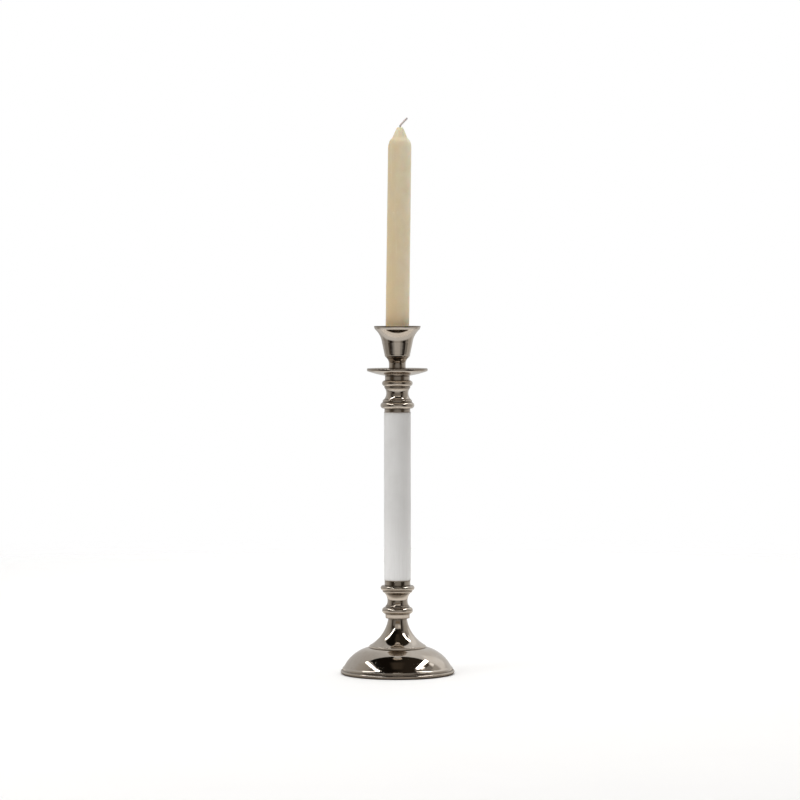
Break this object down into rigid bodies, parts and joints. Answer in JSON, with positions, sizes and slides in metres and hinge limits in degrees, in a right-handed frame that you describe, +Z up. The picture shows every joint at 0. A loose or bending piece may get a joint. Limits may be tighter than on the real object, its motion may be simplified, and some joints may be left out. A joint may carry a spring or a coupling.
{
  "type": "pillar candlestick with candle",
  "caption": "Plated pillar candlestick: domed foot, turned knops, white tube column, drip pan and flared cup that holds a dinner candle.",
  "frame": {"origin": "centre of the resting face under the foot's felt ring, on the axis of the stick", "axes": "+Z up along the stick, +X towards the side the candle leans and its wick bends to"},
  "size_m": [0.1062, 0.1062, 0.5179],
  "materials": {
    "plated_metal": "polished nickel plate with a warm tone",
    "white_enamel": "satin white enamel on steel tube",
    "steel_fastener": "zinc-plated steel",
    "fibre_gasket": "pressed fibre",
    "felt": "dark wool felt",
    "ivory_wax": "satin candle wax",
    "waxed_cotton": "braided cotton dipped in wax"
  },
  "bodies": {
    "stick": {"felt_ring": "felt", "foot": "plated_metal", "rod_nut": "steel_fastener", "spring_washer": "steel_fastener", "flat_washer": "steel_fastener", "tie_rod": "steel_fastener", "lower_collar": "plated_metal", "lower_knop": "plated_metal", "lower_ferrule": "plated_metal", "lower_gasket": "fibre_gasket", "column_tube": "white_enamel", "upper_gasket": "fibre_gasket", "upper_ferrule": "plated_metal", "upper_knop": "plated_metal", "upper_collar": "plated_metal", "drip_pan": "plated_metal", "candle_cup": "plated_metal"},
    "candle": {"candle_wax": "ivory_wax", "candle_wick": "waxed_cotton"}
  },
  "joints": [
    {"name": "candle_lift", "type": "slide", "parent": "stick", "child": "candle", "axis": [0.014, 0, 0.9999], "range_m": [0, 0.04]}
  ]
}
